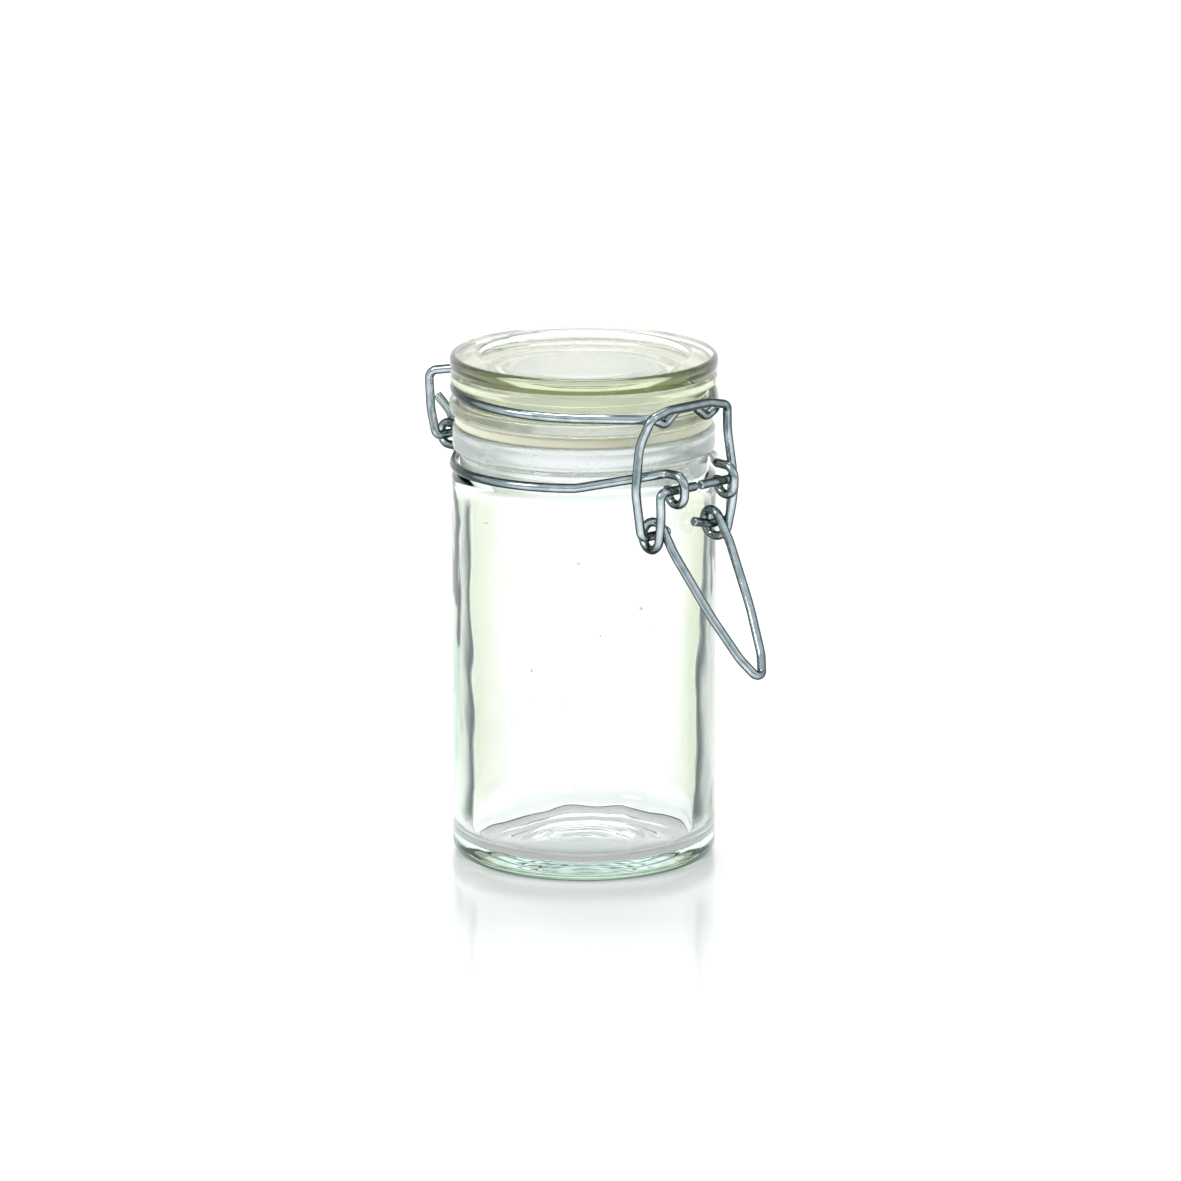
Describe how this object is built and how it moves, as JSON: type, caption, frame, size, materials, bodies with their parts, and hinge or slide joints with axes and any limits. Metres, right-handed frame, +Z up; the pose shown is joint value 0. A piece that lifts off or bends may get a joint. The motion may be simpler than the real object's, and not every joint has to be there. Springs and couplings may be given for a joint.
{
  "type": "bail clamp jar",
  "caption": "Small glass storage jar with a hinged glass lid, a silicone seal and a wire bail clamp worked by a folding wire lever.",
  "frame": {"origin": "centre of the jar's base, in the plane it stands on", "axes": "+Z up the jar's axis, +X to the clamp, -X to the hinge, Y along the hinge and lever pins"},
  "size_m": [0.0784, 0.0468, 0.089],
  "materials": {
    "jar_glass": "clear soda glass, faint green",
    "lid_glass": "clear soda glass, faint olive",
    "seal": "milky translucent silicone",
    "neck_wire_steel": "bright zinc plated wire",
    "lid_wire_steel": "bright zinc plated wire",
    "link_steel": "bright zinc plated wire",
    "lever_steel": "bright zinc plated wire"
  },
  "bodies": {
    "jar": {"glass_jar": "jar_glass", "neck_wire": "neck_wire_steel"},
    "lid": {"glass_lid": "lid_glass", "lid_wire": "lid_wire_steel", "seal_ring": "seal"},
    "lever": {"lever": "lever_steel"},
    "link": {"link": "link_steel"}
  },
  "joints": [
    {"name": "lid_hinge", "type": "hinge", "parent": "jar", "child": "lid", "pos_m": [-0.0296, 0, 0.07055], "axis": [0, -1, 0], "range_deg": [0, 105]},
    {"name": "lever_swing", "type": "hinge", "parent": "jar", "child": "lever", "pos_m": [0.0293, 0, 0.07045], "axis": [0, -1, 0], "range_deg": [0, 115]},
    {"name": "link_pivot", "type": "hinge", "parent": "lever", "child": "link", "pos_m": [0.0258, 0, 0.0622], "axis": [0, -1, 0], "range_deg": [-115, 0]}
  ],
  "couplings": [
    {"joint": "link_pivot", "follows": "lever_swing", "ratio": -1}
  ]
}
